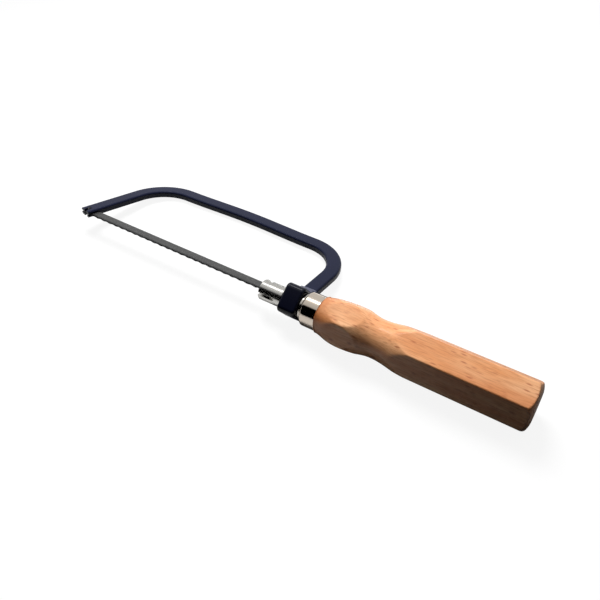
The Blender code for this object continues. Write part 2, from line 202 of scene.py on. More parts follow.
pin_low, pin_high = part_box("blade_front_pin")
front_pin = (pin_low + pin_high) / 2
boss_low, boss_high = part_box("frame_boss")
rear_arm_x = boss_high.x - bar_width / 2
along_arm = Vector((sin(arm_lean), cos(arm_lean), 0))
outwards = Vector((-cos(arm_lean), sin(arm_lean), 0))
front_corner = front_pin + along_arm * ((back_height - front_pin.y) / along_arm.y)
rear_corner = Vector((rear_arm_x, back_height - back_fall, 0))
along_back = (rear_corner - front_corner).normalized()
back_angle = atan2(along_back.y, along_back.x)
front_turn = pi / 2 - arm_lean - back_angle
rear_turn = pi / 2 + back_angle
front_tangent = front_corner_radius * tan(front_turn / 2)
rear_tangent = rear_corner_radius * tan(rear_turn / 2)
inwards = Vector((along_back.y, -along_back.x, 0))
front_centre = front_corner + along_back * front_tangent + inwards * front_corner_radius
rear_centre = rear_corner - along_back * rear_tangent + inwards * rear_corner_radius
back_start = front_corner + along_back * front_tangent
back_length = (rear_corner - front_corner).length - front_tangent - rear_tangent
arm_length = (front_corner - front_pin).length - front_tangent + tip_reach
rear_arm_length = rear_corner.y - rear_tangent - boss_high.y + foot_sink

shape = bmesh.new()
bmesh.ops.create_grid(shape, x_segments=1, y_segments=1, size=0.5)
bmesh.ops.scale(shape, verts=shape.verts, vec=(bar_width, bar_thickness, 1))
bmesh.ops.bevel(shape, geom=list(shape.verts), offset=bar_rounding, segments=bar_rounding_steps, profile=0.5,
                affect="VERTICES", material=-1)
square_to_arm = Matrix((outwards, (0, 0, 1), along_arm)).transposed().to_4x4()
at_tip = Matrix.Translation(front_pin - along_arm * tip_reach)
bmesh.ops.transform(shape, matrix=at_tip @ square_to_arm, verts=shape.verts)
bmesh.ops.delete(shape, geom=list(shape.faces), context="FACES_ONLY")
ring = draw_on(shape, (list(shape.verts), list(shape.edges)), along_arm * arm_length)
ring = bend_on(shape, ring, front_centre, -front_turn, corner_steps)
for step in range(back_steps):
    ring = draw_on(shape, ring, along_back * (back_length / back_steps))
ring = bend_on(shape, ring, rear_centre, -rear_turn, corner_steps)
draw_on(shape, ring, Vector((0, -rear_arm_length, 0)))
bmesh.ops.holes_fill(shape, edges=[edge for edge in shape.edges if edge.is_boundary], sides=0)
for point in shape.verts:
    share = (point.co - back_start).dot(along_back) / back_length
    if 0 < share < 1:
        point.co.y += back_crown * sin(pi * share) ** 2


def spray_enamel(name, deep, pale, shine, blur):
    """Stoved gloss enamel on steel: deep navy that turns grey-blue where it mirrors the pale backdrop, with a
    faint orange peel from the spray gun, and bare steel where blades have been hooked in and out."""
    material, tree, shader, place = start_material(name)
    peel = add_node(tree, "ShaderNodeTexNoise", {
        "Vector": place, "Scale": 1 / peel_grain, "Detail": 2.0,
    })
    drift = add_node(tree, "ShaderNodeTexNoise", {
        "Vector": place, "Scale": 1 / coat_drift, "Detail": 3.0,
    })
    coat = add_node(tree, "ShaderNodeMix", {
        0: drift.outputs["Fac"], 6: linear(deep), 7: linear(pale),
    }, data_type="RGBA")
    to_tip = add_node(tree, "ShaderNodeVectorMath", {
        0: place, 1: front_pin - along_arm * tip_reach,
    }, operation="DISTANCE")
    scuffs = add_node(tree, "ShaderNodeTexNoise", {
        "Vector": place, "Scale": 1 / scuff_grain, "Detail": 4.0,
    })
    reach = add_node(tree, "ShaderNodeMapRange", {
        "Value": to_tip.outputs["Value"], "From Min": 6.5 * MM, "From Max": 2.0 * MM, "To Min": 0.0,
        "To Max": 0.62,
    })
    worn = add_node(tree, "ShaderNodeMath", {
        0: reach.outputs["Result"], 1: scuffs.outputs["Fac"],
    }, operation="MULTIPLY")
    bare = add_node(tree, "ShaderNodeMapRange", {
        "Value": worn.outputs["Value"], "From Min": 0.36, "From Max": 0.42,
    })
    colour = add_node(tree, "ShaderNodeMix", {
        0: bare.outputs["Result"], 6: coat.outputs[2], 7: linear("#8d8f94"),
    }, data_type="RGBA")
    gloss = add_node(tree, "ShaderNodeMapRange", {
        "Value": drift.outputs["Fac"], "From Min": 0.3, "From Max": 0.7, "To Min": blur,
        "To Max": blur * 1.4,
    })
    bump = add_node(tree, "ShaderNodeBump", {
        "Height": peel.outputs["Fac"], "Strength": 0.25, "Distance": 0.03 * MM,
    })
    tree.links.new(colour.outputs[2], shader.inputs["Base Color"])
    tree.links.new(bare.outputs["Result"], shader.inputs["Metallic"])
    tree.links.new(gloss.outputs["Result"], shader.inputs["Roughness"])
    tree.links.new(bump.outputs["Normal"], shader.inputs["Normal"])
    shader.inputs["IOR"].default_value = 1.5
    shader.inputs["Specular IOR Level"].default_value = shine
    return material


enamel = spray_enamel("stoved_navy_enamel", "#14182b", "#1a1e35", 0.16, 0.18)
bow = make_piece("bow_bar", shape, enamel)
below_tip = front_pin.y - 3 * tip_reach
work_with(bow, "DIFFERENCE", box_shape(
    (front_pin.x - bar_width, below_tip, -slit_width / 2),
    (front_pin.x + bar_width, front_pin.y + slit_reach - bar_width * 0.25, slit_width / 2)))
work_with(bow, "DIFFERENCE", box_shape(
    (front_pin.x - notch_width / 2, below_tip, -bar_thickness),
    (front_pin.x + notch_width / 2, front_pin.y + notch_width / 2, bar_thickness)))
soften_edges(bow, saw_cut_rounding, lambda middle: middle.y < front_pin.y + slit_reach)
shade(bow)
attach(bow, "frame")
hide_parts("frame_bow")

# The boss is a square steel block with well rounded corners that stands on its corner, with a square hole
# through it that keeps the tension bolt from turning. It is brazed to the foot of the bow and sprayed navy.
boss_side = 17.2 * MM
boss_lip = 1.2 * MM
boss_corner_radius = 3.2 * MM
boss_rim_radius = 1.5 * MM
neck_hole = 7.2 * MM
cut_spare = 2.0 * MM

half_side = boss_side / 2
shape = box_shape((boss_low.x - boss_lip, -half_side, -half_side), (boss_high.x, half_side, half_side))
lengthwise = [edge for edge in shape.edges
              if abs(edge.verts[0].co.x - edge.verts[1].co.x) > boss_corner_radius]
bmesh.ops.bevel(shape, geom=lengthwise, offset=boss_corner_radius, segments=12, profile=0.5, affect="EDGES",
                material=-1)
rims = [edge for edge in shape.edges if abs(edge.verts[0].co.x - edge.verts[1].co.x) < boss_rim_radius
        and edge.calc_face_angle(0) > radians(50)]
bmesh.ops.bevel(shape, geom=rims, offset=boss_rim_radius, segments=8, profile=0.5, affect="EDGES", material=-1)
on_corner = Matrix.Translation((0, (boss_low.y + boss_high.y) / 2, 0)) @ Matrix.Rotation(pi / 4, 4, "X")
bmesh.ops.transform(shape, matrix=on_corner, verts=shape.verts)
# The boss takes the bow's enamel painted darker, a painted shade for its dim near faces.
boss_enamel_painted_shade = spray_enamel("navy_enamel_on_boss_painted_shade", "#0b0c17", "#0f1122", 0.26, 0.09)
boss = make_piece("boss_block", shape, boss_enamel_painted_shade)
work_with(boss, "DIFFERENCE", box_shape((boss_low.x - cut_spare, -neck_hole / 2, -neck_hole / 2),
                                        (boss_high.x + cut_spare, neck_hole / 2, neck_hole / 2)))
shade(boss)
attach(boss, "frame")
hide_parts("frame_boss")

# The brazed joint is a run of metal that flares from the foot of the bar onto the boss, under the enamel.
# It is flush with the bar at the back, where the two were ground level.
braze_height = 2.6 * MM
braze_spread = 1.7 * MM
braze_sink = 2.4 * MM
braze_steps = 10

shape = bmesh.new()
bmesh.ops.create_grid(shape, x_segments=1, y_segments=1, size=0.5)
bmesh.ops.scale(shape, verts=shape.verts, vec=(bar_width, bar_thickness, 1))
bmesh.ops.bevel(shape, geom=list(shape.verts), offset=bar_rounding, segments=bar_rounding_steps, profile=0.5,
                affect="VERTICES", material=-1)
lay_down = Matrix.Translation((rear_arm_x, boss_high.y + braze_height, 0)) @ Matrix.Rotation(-pi / 2, 4, "X")
bmesh.ops.transform(shape, matrix=lay_down, verts=shape.verts)
bmesh.ops.delete(shape, geom=list(shape.faces), context="FACES_ONLY")
ring = (list(shape.verts), list(shape.edges))
flush_plane = Matrix.Translation((-boss_high.x, 0, 0))
spread = 0.0
for step in range(1, braze_steps + 2):
    turn = min(step / braze_steps, 1) * pi / 2
    next_spread = braze_spread * (1 - cos(turn))
    drop = braze_height * (sin(turn) - sin(turn - pi / 2 / braze_steps)) if step <= braze_steps else braze_sink
    ring = draw_on(shape, ring, Vector((0, -drop, 0)))
    wider = ((bar_width + next_spread / 2) / (bar_width + spread / 2), 1,
             (bar_thickness + 2 * next_spread) / (bar_thickness + 2 * spread))
    bmesh.ops.scale(shape, verts=ring[0], vec=wider, space=flush_plane)
    spread = next_spread
bmesh.ops.holes_fill(shape, edges=[edge for edge in shape.edges if edge.is_boundary], sides=0)
# The braze takes the bow's navy enamel painted paler grey-blue, a painted highlight on the joint.
braze_enamel_painted_highlight = spray_enamel("navy_enamel_over_braze_painted_highlight", "#3f4154", "#4e5064", 0.7, 0.24)
braze = make_piece("braze_run", shape, braze_enamel_painted_highlight)
shade(braze)
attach(braze, "frame")

# The thrust washer is a plain turned ring between the boss and the ferrule, on which the handle turns.
# It is bright plated steel with rounded rims.
washer_low, washer_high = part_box("thrust_washer")
washer_gap = 0.6 * MM
washer_hole = 2.8 * MM
washer_rounding = 0.35 * MM
round_steps = 96
lathe_ring = 2.2 * MM


def arc(centre_x, centre_r, radius, start, end, steps=6):
    """Points (x, radius) on part of a circle, both ends included."""
    turns = [start + (end - start) * step / steps for step in range(steps + 1)]
    return [(centre_x + radius * cos(turn), centre_r + radius * sin(turn)) for turn in turns]


def turn_on_lathe(profile, steps=round_steps, start=pi / 2):
    """Spin (x, radius) points about the saw's axis into a closed solid."""
    shape = bmesh.new()
    points = [shape.verts.new((x, radius * cos(start), radius * sin(start))) for x, radius in profile]
    edges = [shape.edges.new(pair) for pair in zip(points, points[1:])]
    if profile[0][1] > 0:
        edges.append(shape.edges.new((points[-1], points[0])))
    bmesh.ops.spin(shape, geom=points + edges, cent=(0, 0, 0), axis=(1, 0, 0), angle=2 * pi, steps=steps,
                   use_merge=True)
    return shape


# Bright plated steel: a near mirror, warm grey, with faint rings from the lathe.
bright_plate, tree, shader, place = start_material("bright_plated_steel")
rings = add_node(tree, "ShaderNodeTexWave", {
    "Vector": place, "Scale": 1 / lathe_ring, "Distortion": 1.0, "Detail": 2.0,
}, wave_type="RINGS", rings_direction="X")
shine = add_node(tree, "ShaderNodeMapRange", {
    "Value": rings.outputs["Fac"], "To Min": 0.12, "To Max": 0.2,
})
tree.links.new(shine.outputs["Result"], shader.inputs["Roughness"])
shader.inputs["Base Color"].default_value = linear("#d8d2c8")
shader.inputs["Metallic"].default_value = 1.0

rim = washer_high.z
washer_rear = washer_high.x - washer_gap
profile = [(washer_low.x, washer_hole)]
profile += arc(washer_low.x + washer_rounding, rim - washer_rounding, washer_rounding, pi, pi / 2)
profile += arc(washer_rear - washer_rounding, rim - washer_rounding, washer_rounding, pi / 2, 0)
profile += [(washer_rear, washer_hole)]
washer = make_piece("washer_ring", turn_on_lathe(profile), bright_plate)
shade(washer)
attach(washer, "frame")
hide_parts("thrust_washer")

# The tension bolt is turned from round steel: a head that is slit for the blade and cut across for its
# pin, a square neck that slides in the boss, and a threaded shank. It is nickel plated to a satin finish,
# and the neck's play lets the head stand a few degrees round.
bolt_low, bolt_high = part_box("tension_bolt")
rear_pin_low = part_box("blade_rear_pin")[0]
head_radius = bolt_high.z
head_length = 15.0 * MM
head_slit_width = 1.9 * MM
head_rounding = 0.6 * MM
head_slit_depth = 10.6 * MM
neck_side = 6.6 * MM
shank_radius = 2.5 * MM
seat_length = 3.6 * MM
seat_play = 0.3 * MM
broken_edge = 0.12 * MM
shank_chamfer = 0.6 * MM
shank_steps = 48
turning_mark = 1.4 * MM
plate_cloud = 2.5 * MM
twist = Matrix.Rotation(radians(-5), 4, "X")

# Satin nickel: pale and softly blurred, with faint turning marks round the head, drawn coarser than real ones.
satin_nickel, tree, shader, place = start_material("satin_nickel_plate")
marks = add_node(tree, "ShaderNodeMapping", {"Vector": place, "Scale": (1 / turning_mark, 60, 60)})
turning = add_node(tree, "ShaderNodeTexNoise", {
    "Vector": marks.outputs["Vector"], "Scale": 1.0, "Detail": 3.0,
})
cloud = add_node(tree, "ShaderNodeTexNoise", {"Vector": place, "Scale": 1 / plate_cloud, "Detail": 3.0})
tone = add_node(tree, "ShaderNodeMix", {
    0: turning.outputs["Fac"], 6: linear("#cbc9c4"), 7: linear("#dad8d3"),
}, data_type="RGBA")
blur = add_node(tree, "ShaderNodeMapRange", {
    "Value": cloud.outputs["Fac"], "From Min": 0.3, "From Max": 0.7, "To Min": 0.2, "To Max": 0.25,
})
tree.links.new(tone.outputs[2], shader.inputs["Base Color"])
tree.links.new(blur.outputs["Result"], shader.inputs["Roughness"])
shader.inputs["Metallic"].default_value = 1.0

front_x = bolt_low.x
rear_x = front_x + head_length
profile = [(front_x, 0)]
profile += arc(front_x + head_rounding, head_radius - head_rounding, head_rounding, pi, pi / 2)
profile += arc(rear_x - head_rounding, head_radius - head_rounding, head_rounding, pi / 2, 0)
profile += [(rear_x, 0)]
bolt = make_piece("clamping_bolt", turn_on_lathe(profile), satin_nickel)

slit = box_shape((front_x - cut_spare, -2 * head_radius, -head_slit_width / 2),
                 (front_x + head_slit_depth, 2 * head_radius, head_slit_width / 2))
slit_end = [edge for edge in slit.edges if all(vert.co.x > front_x for vert in edge.verts)
            and abs(edge.verts[0].co.y - edge.verts[1].co.y) > head_radius]
bmesh.ops.bevel(slit, geom=slit_end, offset=head_slit_width * 0.48, segments=5, profile=0.5, affect="EDGES",
                material=-1)
bmesh.ops.transform(slit, matrix=twist, verts=slit.verts)
work_with(bolt, "DIFFERENCE", slit)
seat_x = rear_pin_low.x - seat_play
seat_y = rear_pin_low.y - seat_play
seat = box_shape((seat_x, seat_y, -2 * head_radius),
                 (seat_x + seat_length, 2 * head_radius, 2 * head_radius))
bmesh.ops.transform(seat, matrix=twist, verts=seat.verts)
work_with(bolt, "DIFFERENCE", seat)
soften_edges(bolt, broken_edge, lambda middle: True)
work_with(bolt, "UNION", box_shape((rear_x - neck_side / 2, -neck_side / 2, -neck_side / 2),
                                   (boss_high.x - seat_play, neck_side / 2, neck_side / 2)))
profile = [(rear_x, 0), (rear_x, shank_radius), (bolt_high.x - shank_chamfer, shank_radius),
           (bolt_high.x, shank_radius - shank_chamfer), (bolt_high.x, 0)]
work_with(bolt, "UNION", turn_on_lathe(profile, shank_steps))
shade(bolt)
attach(bolt, "bolt")
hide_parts("tension_bolt")

# The blade is rolled and hardened steel strip with fine teeth set in a wave, and a hole at each end for
# its pin. The solid already has its teeth, so it stays and takes a finish.
grinding_length = 18.0 * MM
grinding_width = 0.3 * MM
hardened_from = 0.4 * MM
hardened_to = 2.0 * MM

# Blackened steel with grinding lines along its length, and darker where the teeth were hardened.
black_steel, tree, shader, place = start_material("oil_blackened_steel")
along = add_node(tree, "ShaderNodeMapping", {
    "Vector": place, "Scale": (1 / grinding_length, 1 / grinding_width, 1 / grinding_width),
})
grinding = add_node(tree, "ShaderNodeTexNoise", {
    "Vector": along.outputs["Vector"], "Scale": 1.0, "Detail": 4.0,
})
across = add_node(tree, "ShaderNodeSeparateXYZ", {"Vector": place})
blade_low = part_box("blade")[0]
hardened = add_node(tree, "ShaderNodeMapRange", {
    "Value": across.outputs["Y"], "From Min": blade_low.y + hardened_from,
    "From Max": blade_low.y + hardened_to,
})
ground = add_node(tree, "ShaderNodeMix", {
    0: grinding.outputs["Fac"], 6: linear("#595959"), 7: linear("#878787"),
}, data_type="RGBA")
steel = add_node(tree, "ShaderNodeMix", {
    0: hardened.outputs["Result"], 6: linear("#262628"), 7: ground.outputs[2],
}, data_type="RGBA")
blur = add_node(tree, "ShaderNodeMapRange", {
    "Value": grinding.outputs["Fac"], "From Min": 0.3, "From Max": 0.7, "To Min": 0.36,
    "To Max": 0.5,
})
bump = add_node(tree, "ShaderNodeBump", {
    "Height": grinding.outputs["Fac"], "Strength": 0.15, "Distance": 0.02 * MM,
})
tree.links.new(steel.outputs[2], shader.inputs["Base Color"])
tree.links.new(blur.outputs["Result"], shader.inputs["Roughness"])
tree.links.new(bump.outputs["Normal"], shader.inputs["Normal"])
shader.inputs["Metallic"].default_value = 1.0
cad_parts["blade"].data.materials.clear()
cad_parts["blade"].data.materials.append(black_steel)

# The two pins are short lengths of drawn steel wire with broken edges, pressed through the blade's ends.
# The front one hooks into the bow's tip and the rear one into the clamping head.
pin_chamfer = 0.25 * MM
scratch_length = 2.0 * MM
scratch_width = 0.12 * MM

# Drawn steel wire, dark grey and half bright, with fine scratches along its length.
drawn_wire, tree, shader, place = start_material("drawn_steel_wire")
scratch = add_node(tree, "ShaderNodeMapping", {
    "Vector": place, "Scale": (1 / scratch_width, 1 / scratch_width, 1 / scratch_length),
})
scratches = add_node(tree, "ShaderNodeTexNoise", {
    "Vector": scratch.outputs["Vector"], "Scale": 1.0, "Detail": 2.0,
})
tone = add_node(tree, "ShaderNodeMix", {
    0: scratches.outputs["Fac"], 6: linear("#3c3c3b"), 7: linear("#5c5c59"),
}, data_type="RGBA")
tree.links.new(tone.outputs[2], shader.inputs["Base Color"])
shader.inputs["Metallic"].default_value = 1.0
shader.inputs["Roughness"].default_value = 0.34

for end in ("front", "rear"):
    low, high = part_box(f"blade_{end}_pin")
    radius = (high.x - low.x) / 2
    shape = bmesh.new()
    bmesh.ops.create_cone(shape, cap_ends=True, segments=32, radius1=radius, radius2=radius,
                          depth=high.z - low.z)
    rims = [edge for edge in shape.edges if edge.calc_face_angle(0) > radians(50)]
    bmesh.ops.bevel(shape, geom=rims, offset=pin_chamfer, segments=3, profile=0.5, affect="EDGES", material=-1)
    bmesh.ops.translate(shape, verts=shape.verts, vec=(low + high) / 2)
    pin = make_piece(f"{end}_pin", shape, drawn_wire)
    shade(pin)
    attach(pin, "blade")
    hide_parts(f"blade_{end}_pin")

# The ferrule is a cap drawn from thin brass sheet and polished on a wheel after plating. It is pressed
# onto the handle's spigot and keeps the wood from splitting.
ferrule_low, ferrule_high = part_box("ferrule")
ferrule_wall = 0.7 * MM
ferrule_hole = 4.5 * MM
ferrule_rounding = 1.2 * MM
rolled_edge = 0.25 * MM
buffing_mark = 0.3 * MM
sheet_wave = 6.0 * MM

# Polished nickel: a warm, clear mirror with a trace of buffing marks round it.
polished_nickel, tree, shader, place = start_material("polished_nickel_plate")
buff = add_node(tree, "ShaderNodeMapping", {"Vector": place, "Scale": (1 / buffing_mark, 90, 90)})
buffing = add_node(tree, "ShaderNodeTexNoise", {
    "Vector": buff.outputs["Vector"], "Scale": 1.0, "Detail": 3.0,
})
wave = add_node(tree, "ShaderNodeTexNoise", {"Vector": place, "Scale": 1 / sheet_wave, "Detail": 1.0})
shine = add_node(tree, "ShaderNodeMapRange", {
    "Value": buffing.outputs["Fac"], "From Min": 0.3, "From Max": 0.7, "To Min": 0.05,
    "To Max": 0.13,
})
bump = add_node(tree, "ShaderNodeBump", {
    "Height": wave.outputs["Fac"], "Strength": 0.15, "Distance": 0.05 * MM,
})
tree.links.new(shine.outputs["Result"], shader.inputs["Roughness"])
tree.links.new(bump.outputs["Normal"], shader.inputs["Normal"])
shader.inputs["Base Color"].default_value = linear("#e3d6c7")
shader.inputs["Metallic"].default_value = 1.0

outer = ferrule_high.z
inner = outer - ferrule_wall
corner_x = ferrule_low.x + ferrule_rounding
corner_r = outer - ferrule_rounding
profile = [(ferrule_low.x, ferrule_hole)]
profile += arc(corner_x, corner_r, ferrule_rounding, pi, pi / 2, 8)
profile += arc(ferrule_high.x - rolled_edge, outer - rolled_edge, rolled_edge, pi / 2, 0, 4)
profile += [(ferrule_high.x, inner)]
profile += arc(corner_x, corner_r, ferrule_rounding - ferrule_wall, pi / 2, pi, 4)
profile += [(ferrule_low.x + ferrule_wall, ferrule_hole)]
ferrule = make_piece("ferrule_cap", turn_on_lathe(profile), polished_nickel)
shade(ferrule)
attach(ferrule, "handle")
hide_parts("ferrule")

# The handle nut is a flanged, threaded sleeve inside the handle. Nothing of it shows, so its solid stays.
# It is cut from steel bar and pressed in from the front, under the ferrule.
spangle_size = 1.2 * MM

# Zinc plated steel: dull, cool grey with cloudy spangle.
zinc, tree, shader, place = start_material("zinc_plated_steel")
spangle = add_node(tree, "ShaderNodeTexVoronoi", {"Vector": place, "Scale": 1 / spangle_size})
tone = add_node(tree, "ShaderNodeMix", {
    0: spangle.outputs["Distance"], 6: linear("#b4b8bd"), 7: linear("#8f9499"),
}, data_type="RGBA")
tree.links.new(tone.outputs[2], shader.inputs["Base Color"])
shader.inputs["Metallic"].default_value = 1.0
shader.inputs["Roughness"].default_value = 0.38
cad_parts["handle_nut"].data.materials.clear()
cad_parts["handle_nut"].data.materials.append(zinc)

# The handle is turned from one piece of beech to a bulb, a waist and a straight grip, then planed with
# six flats that run out in scallops at the waist. Its spigot is driven into the ferrule and it is varnished.
handle_low, handle_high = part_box("handle")
across_flats = 23.8 * MM
flat_start = 11.3 * MM
flats = 6
roll = radians(-4)
arris_sharpness = 90
scallop_softness = 0.1 * MM
ferrule_end_softness = 0.9 * MM
spigot_radius = 8.75 * MM
bore_radius = 4.8 * MM
bore_depth = 25.6 * MM
shoulder_gap = 0.3 * MM
shoulder_radius = 10.5 * MM
shoulder_rounding = 0.35 * MM
bulb_place = 25.0 * MM
bulb_radius = 13.6 * MM
bulb_straightness = 1.55
waist_place = 43.0 * MM
waist_radius = 10.55 * MM
grip_place = 69.0 * MM
grip_radius = 14.04 * MM
butt_rounding = 4.2 * MM
butt_flat_radius = 6.5 * MM
butt_steps = 14
lengthwise_step = 0.5 * MM
around_steps = 240
ray_turn = radians(-116)
fleck_length = 6.0 * MM
fleck_height = 1.5 * MM
pore_length = 9.0 * MM
pore_width = 0.6 * MM
growth_band = 2.4 * MM
darkened_length = 15.0 * MM

shoulder_x = ferrule_high.x + shoulder_gap
bulb_x = ferrule_low.x + bulb_place
waist_x = ferrule_low.x + waist_place
grip_x = ferrule_low.x + grip_place
butt_x = handle_high.x


def turned_radius(x):
    """The lathe's radius at a place along the handle."""
    if x < bulb_x:
        turn = pi / 2 * max(x - shoulder_x, 0) / (bulb_x - shoulder_x)
        return shoulder_radius + (bulb_radius - shoulder_radius) * sin(turn) ** bulb_straightness
    if x < waist_x:
        turn = pi * (x - bulb_x) / (waist_x - bulb_x)
        return waist_radius + (bulb_radius - waist_radius) * (1 + cos(turn)) / 2
    if x < grip_x:
        turn = pi * (x - waist_x) / (grip_x - waist_x)
        return grip_radius + (waist_radius - grip_radius) * (1 + cos(turn)) / 2
    return grip_radius


def planed_radius(x, turn):
    """The distance of the six flats from the axis in one direction, a little rounded at the arrises.
    Over the front of the bulb the flats slope in, and run out before the ferrule."""
    along_bulb = min(max((x - shoulder_x) / (bulb_x - shoulder_x), 0), 1)
    depth = flat_start + (across_flats / 2 - flat_start) * along_bulb
    total = 0.0
    for flat in range(flats):
        toward = cos(turn - roll - pi / 2 - (flat + 0.5) * 2 * pi / flats)
        total += max(toward, 0) ** arris_sharpness
    return depth / total ** (1 / arris_sharpness)


bore_x = handle_low.x + bore_depth
profile = [(bore_x, 0), (bore_x, bore_radius), (handle_low.x, bore_radius)]
profile += [(handle_low.x, spigot_radius), (shoulder_x, spigot_radius)]
profile += arc(shoulder_x + shoulder_rounding, shoulder_radius - shoulder_rounding, shoulder_rounding,
               pi, pi / 2, 3)
rounding_x = butt_x - butt_rounding
steps = round((rounding_x - shoulder_x - 2 * shoulder_rounding) / lengthwise_step)
for step in range(steps):
    x = shoulder_x + 2 * shoulder_rounding + step * lengthwise_step
    profile.append((x, turned_radius(x)))
for step in range(butt_steps + 1):
    turn = pi / 2 * step / butt_steps
    profile.append((rounding_x + butt_rounding * sin(turn),
                    butt_flat_radius + (grip_radius - butt_flat_radius) * cos(turn)))
profile += [(butt_x, butt_flat_radius * share) for share in (0.75, 0.5, 0.25, 0)]
shape = turn_on_lathe(profile, around_steps, roll + pi / 2)
for point in shape.verts:
    radius = hypot(point.co.y, point.co.z)
    if point.co.x > shoulder_x + shoulder_rounding / 2 and radius > bore_radius:
        planed = planed_radius(point.co.x, atan2(point.co.z, point.co.y))
        before_bulb = max((bulb_x - point.co.x) / (bulb_x - shoulder_x), 0)
        softness = scallop_softness + ferrule_end_softness * before_bulb ** 2
        worked = (radius + planed - sqrt((radius - planed) ** 2 + softness ** 2)) / 2
        point.co.y *= worked / radius
        point.co.z *= worked / radius

# Beech under thin clear varnish: a pinkish tan with short dark-red ray flecks along the grain, fine pores,
# faint growth bands and a soft satin sheen. The rays run square to the flat that faces up. Flecks and pores
# are drawn about three times as coarse as real ones, so that they show at the picture's size. The wood is
# painted darker next to the ferrule, a painted shade where the front of the bulb turns away from the lamp.
beech, tree, shader, place = start_material("varnished_beech")
radial = add_node(tree, "ShaderNodeMapping", {"Vector": place, "Rotation": (ray_turn, 0, 0)})
fleck_cells = add_node(tree, "ShaderNodeMapping", {
    "Vector": radial.outputs["Vector"],
    "Scale": (1 / fleck_length, 1 / fleck_length, 1 / fleck_height),
})
flecks = add_node(tree, "ShaderNodeTexVoronoi", {"Vector": fleck_cells.outputs["Vector"], "Scale": 1.0})
fleck_pick = add_node(tree, "ShaderNodeSeparateColor", {"Color": flecks.outputs["Color"]})
fleck_edge = add_node(tree, "ShaderNodeMapRange", {
    "Value": flecks.outputs["Distance"], "From Min": 0.36, "From Max": 0.12,
})
fleck_kept = add_node(tree, "ShaderNodeMapRange", {
    "Value": fleck_pick.outputs["Red"], "From Min": 0.1, "From Max": 0.75, "To Max": 0.72,
})
fleck = add_node(tree, "ShaderNodeMath", {
    0: fleck_edge.outputs["Result"], 1: fleck_kept.outputs["Result"],
}, operation="MULTIPLY")
pore_cells = add_node(tree, "ShaderNodeMapping", {
    "Vector": radial.outputs["Vector"], "Scale": (1 / pore_length, 1 / pore_width, 1 / pore_width),
})
pores = add_node(tree, "ShaderNodeTexNoise", {
    "Vector": pore_cells.outputs["Vector"], "Scale": 1.0, "Detail": 4.0, "Roughness": 0.6,
})
band_cells = add_node(tree, "ShaderNodeMapping", {
    "Vector": radial.outputs["Vector"], "Scale": (1 / (70 * MM), 1 / growth_band, 1 / (14 * MM)),
})
bands = add_node(tree, "ShaderNodeTexNoise", {
    "Vector": band_cells.outputs["Vector"], "Scale": 1.0, "Detail": 3.0,
})
cloud_cells = add_node(tree, "ShaderNodeMapping", {
    "Vector": place, "Scale": (1 / (28 * MM), 1 / (8 * MM), 1 / (8 * MM)),
})
clouds = add_node(tree, "ShaderNodeTexNoise", {
    "Vector": cloud_cells.outputs["Vector"], "Scale": 1.0, "Detail": 2.0,
})
cloud_mix = add_node(tree, "ShaderNodeMapRange", {
    "Value": clouds.outputs["Fac"], "From Min": 0.32, "From Max": 0.68,
})
band_mix = add_node(tree, "ShaderNodeMapRange", {
    "Value": bands.outputs["Fac"], "From Min": 0.38, "From Max": 0.66, "To Max": 0.75,
})
pore_mix = add_node(tree, "ShaderNodeMapRange", {
    "Value": pores.outputs["Fac"], "From Min": 0.45, "From Max": 0.7, "To Max": 0.62,
})
ground = add_node(tree, "ShaderNodeMix", {
    0: cloud_mix.outputs["Result"], 6: linear("#fac08f"), 7: linear("#eca067"),
}, data_type="RGBA")
banded = add_node(tree, "ShaderNodeMix", {
    0: band_mix.outputs["Result"], 6: ground.outputs[2], 7: linear("#dc8c56"),
}, data_type="RGBA")
grained = add_node(tree, "ShaderNodeMix", {
    0: pore_mix.outputs["Result"], 6: banded.outputs[2], 7: linear("#bd7243"),
}, data_type="RGBA")
flecked = add_node(tree, "ShaderNodeMix", {
    0: fleck.outputs["Value"], 6: grained.outputs[2], 7: linear("#b05a36"),
}, data_type="RGBA")
lengthwise = add_node(tree, "ShaderNodeSeparateXYZ", {"Vector": place})
# Painted shade: the wood darkens over its first length from the shoulder, next to the ferrule.
painted_shade_near_ferrule = add_node(tree, "ShaderNodeMapRange", {
    "Value": lengthwise.outputs["X"], "From Min": shoulder_x,
    "From Max": shoulder_x + darkened_length, "To Min": 0.75, "To Max": 0.0,
})
wood = add_node(tree, "ShaderNodeMix", {
    0: painted_shade_near_ferrule.outputs["Result"], 6: flecked.outputs[2], 7: linear("#b8703f"),
}, data_type="RGBA")
sheen = add_node(tree, "ShaderNodeMapRange", {
    "Value": pores.outputs["Fac"], "From Min": 0.3, "From Max": 0.7, "To Min": 0.4, "To Max": 0.55,
})
bump = add_node(tree, "ShaderNodeBump", {
    "Height": pores.outputs["Fac"], "Strength": 0.2, "Distance": 0.05 * MM,
}, invert=True)
tree.links.new(wood.outputs[2], shader.inputs["Base Color"])
tree.links.new(sheen.outputs["Result"], shader.inputs["Roughness"])
tree.links.new(bump.outputs["Normal"], shader.inputs["Normal"])
shader.inputs["IOR"].default_value = 1.45
shader.inputs["Coat Weight"].default_value = 0.55
shader.inputs["Coat Roughness"].default_value = 0.18

handle = make_piece("handle_grip", shape, beech)
handle.data.shade_smooth()
handle.data.set_sharp_from_angle(angle=radians(50))
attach(handle, "handle")
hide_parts("handle")

# The saw lies on its side on a white table, on the handle's lowest arris and the bow's lower outer edge.
# The table shows white with the saw's shadow, and throws little light back up at the wood.
rest_edge = Vector((0, -0.96 * MM, -13.68 * MM))
table_slope = radians(10.05)
table_size = 4.0
table_middle = -150 * MM
butt_shade_from = -0.1
butt_shade_to = -0.01

